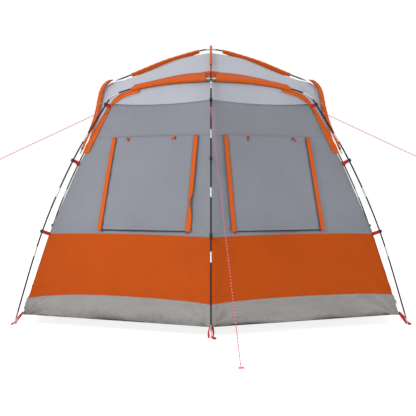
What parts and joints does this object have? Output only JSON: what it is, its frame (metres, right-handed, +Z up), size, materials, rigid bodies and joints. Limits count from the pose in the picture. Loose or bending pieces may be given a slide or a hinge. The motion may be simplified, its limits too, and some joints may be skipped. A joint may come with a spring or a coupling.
{
  "type": "camping tent",
  "caption": "Six-sided frame tent with clipped poles, a tub floor, roll-up window covers, a side door and an arched four-cornered roof.",
  "frame": {"origin": "on the ground under the apex, at the middle of the footprint; guy lines are not counted", "axes": "+Z up; -Y towards the near corner between the two windowed walls; +X towards the wall with the door"},
  "size_m": [3.3616, 4.6086, 2.117],
  "materials": {
    "tub_cloth": "coated woven polyethylene, soft folds",
    "orange_cloth": "plain-weave polyester, dull sheen",
    "orange_trim": "plain-weave polyester sleeve and binding",
    "grey_cloth": "plain-weave polyester",
    "light_cloth": "plain-weave polyester, paler",
    "silver_cloth": "silver coated polyester with a soft sheen",
    "fibreglass": "wrapped black fibreglass rod",
    "ferrule_metal": "drawn tube, satin",
    "clip_plastic": "moulded black",
    "red_webbing": "ribbed woven webbing",
    "window_netting": "fine black insect netting",
    "zip_metal": "red zip slider and pull",
    "toggle_plastic": "black bar on a cloth loop",
    "guy_cord": "braided cord, red with pale flecks"
  },
  "bodies": {
    "tent": {"groundsheet": "tub_cloth", "tub_sides": "tub_cloth", "orange_band_front_right": "orange_cloth", "orange_band_right": "orange_cloth", "orange_band_rear_right": "orange_cloth", "orange_band_rear_left": "orange_cloth", "orange_band_left": "orange_cloth", "orange_band_front_left": "orange_cloth", "wall_panel_front_right": "grey_cloth", "wall_panel_right": "grey_cloth", "wall_panel_rear_right": "grey_cloth", "wall_panel_rear_left": "grey_cloth", "wall_panel_left": "grey_cloth", "wall_panel_front_left": "grey_cloth", "gable_front_right": "light_cloth", "gable_front_left": "light_cloth", "gable_rear_right": "light_cloth", "gable_rear_left": "light_cloth", "gable_right": "light_cloth", "gable_left": "light_cloth", "roof_panel_front_right": "silver_cloth", "roof_panel_front_left": "silver_cloth", "roof_panel_rear_right": "silver_cloth", "roof_panel_rear_left": "silver_cloth", "front_arch_sleeve": "orange_trim", "rear_arch_sleeve": "orange_trim", "crown_sleeve": "orange_trim", "ridge_sleeve": "orange_trim", "brow_sleeve_right": "orange_trim", "brow_sleeve_left": "orange_trim", "ridge_pole": "fibreglass", "front_hoop_pole": "fibreglass", "rear_hoop_pole": "fibreglass", "crown_pole": "fibreglass", "brow_pole_right": "fibreglass", "brow_pole_left": "fibreglass", "pole_ferrules": "ferrule_metal", "shoulder_elbows": "ferrule_metal", "pole_tips": "ferrule_metal", "pole_clips": "clip_plastic", "clip_tabs": "red_webbing", "corner_straps": "red_webbing", "corner_rings": "ferrule_metal", "peg_loops": "red_webbing", "window_mesh_right": "window_netting", "window_mesh_left": "window_netting", "window_strips_right": "orange_trim", "window_strips_left": "orange_trim", "window_toggles": "toggle_plastic", "guy_line_front": "guy_cord", "guy_line_right": "guy_cord", "guy_line_left": "guy_cord"},
    "window_cover_right": {"window_cover_right": "grey_cloth"},
    "window_cover_left": {"window_cover_left": "grey_cloth"},
    "zip_slider_right_inner": {"zip_slider_right_inner": "zip_metal"},
    "zip_slider_right_outer": {"zip_slider_right_outer": "zip_metal"},
    "zip_slider_left_inner": {"zip_slider_left_inner": "zip_metal"},
    "zip_slider_left_outer": {"zip_slider_left_outer": "zip_metal"},
    "door_panel": {"door_panel": "grey_cloth"},
    "door_slider": {"door_slider": "zip_metal"}
  },
  "joints": [
    {"name": "window_cover_right_hinge", "type": "hinge", "parent": "tent", "child": "window_cover_right", "pos_m": [0.45131, -0.78171, 1.324], "axis": [-0.866, -0.5, 0], "range_deg": [0, 140]},
    {"name": "window_cover_left_hinge", "type": "hinge", "parent": "tent", "child": "window_cover_left", "pos_m": [-0.45131, -0.78171, 1.324], "axis": [-0.866, 0.5, 0], "range_deg": [0, 140]},
    {"name": "zip_right_inner_slide", "type": "slide", "parent": "tent", "child": "zip_slider_right_inner", "axis": [-0.0711, 0.3889, 0.9185], "range_m": [0, 0.5]},
    {"name": "zip_right_outer_slide", "type": "slide", "parent": "tent", "child": "zip_slider_right_outer", "axis": [-0.1156, 0.3656, 0.9236], "range_m": [0, 0.497]},
    {"name": "zip_left_inner_slide", "type": "slide", "parent": "tent", "child": "zip_slider_left_inner", "axis": [0.0711, 0.3889, 0.9185], "range_m": [0, 0.5]},
    {"name": "zip_left_outer_slide", "type": "slide", "parent": "tent", "child": "zip_slider_left_outer", "axis": [0.1156, 0.3656, 0.9236], "range_m": [0, 0.497]},
    {"name": "door_panel_hinge", "type": "hinge", "parent": "tent", "child": "door_panel", "pos_m": [0.85281, -0.00067, 1.494], "axis": [-0.0837, -0.9965, 0], "range_deg": [0, 100]},
    {"name": "door_zip_slide", "type": "slide", "parent": "tent", "child": "door_slider", "axis": [-0.2942, 0.0948, 0.951], "range_m": [0, 0.425]}
  ]
}
